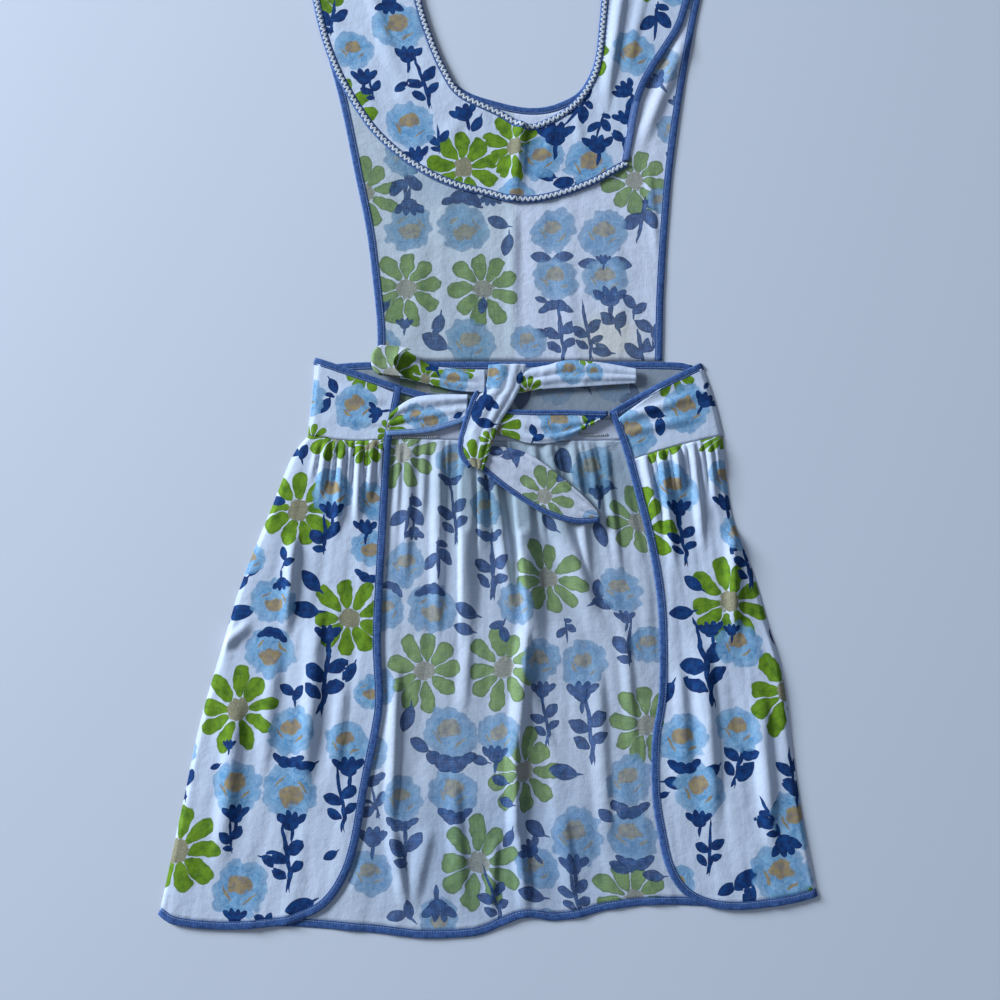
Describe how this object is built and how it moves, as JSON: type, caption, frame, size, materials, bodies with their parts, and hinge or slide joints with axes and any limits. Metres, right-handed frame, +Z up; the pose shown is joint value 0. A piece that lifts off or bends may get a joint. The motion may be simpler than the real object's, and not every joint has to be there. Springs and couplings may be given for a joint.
{
  "type": "bib apron",
  "caption": "Floral cotton bib apron with a round back yoke and wrap-around back panels, laid flat front down with its ties in a loose bow.",
  "frame": {"origin": "middle of the laid-out apron's footprint, on the surface it lies on", "axes": "+Y from the hem towards the neck, +Z up out of the surface, +X to the right as seen from above"},
  "size_m": [0.563, 0.944, 0.0104],
  "materials": {
    "print_right_side": "plain-weave cotton, right side of a floral print",
    "print_wrong_side": "plain-weave cotton, faded wrong side of the same print",
    "bias_binding": "blue cotton bias binding, washed",
    "rickrack": "white braided rickrack"
  },
  "bodies": {
    "root": {"front_skirt": "print_wrong_side", "front_waistband": "print_wrong_side", "front_bib": "print_wrong_side", "back_yoke": "print_right_side", "back_skirt_left": "print_right_side", "back_skirt_right": "print_right_side", "back_waistband_left": "print_right_side", "back_waistband_right": "print_right_side", "tie_left": "print_right_side", "tie_right": "print_right_side", "bow_loop": "print_right_side", "knot_band": "print_right_side", "tail_long": "print_wrong_side", "tail_short": "print_right_side", "binding_front_hem": "bias_binding", "binding_front_waist": "bias_binding", "binding_bib_left": "bias_binding", "binding_bib_right": "bias_binding", "binding_neck_front": "bias_binding", "binding_neck_back": "bias_binding", "binding_yoke_hem": "bias_binding", "binding_yoke_side": "bias_binding", "binding_back_left": "bias_binding", "binding_back_right": "bias_binding", "binding_waistband_left": "bias_binding", "binding_waistband_right": "bias_binding", "binding_tie_left": "bias_binding", "binding_tie_right": "bias_binding", "binding_knot": "bias_binding", "binding_tail_long": "bias_binding", "rickrack_neck": "rickrack", "rickrack_yoke": "rickrack"}
  },
  "joints": []
}
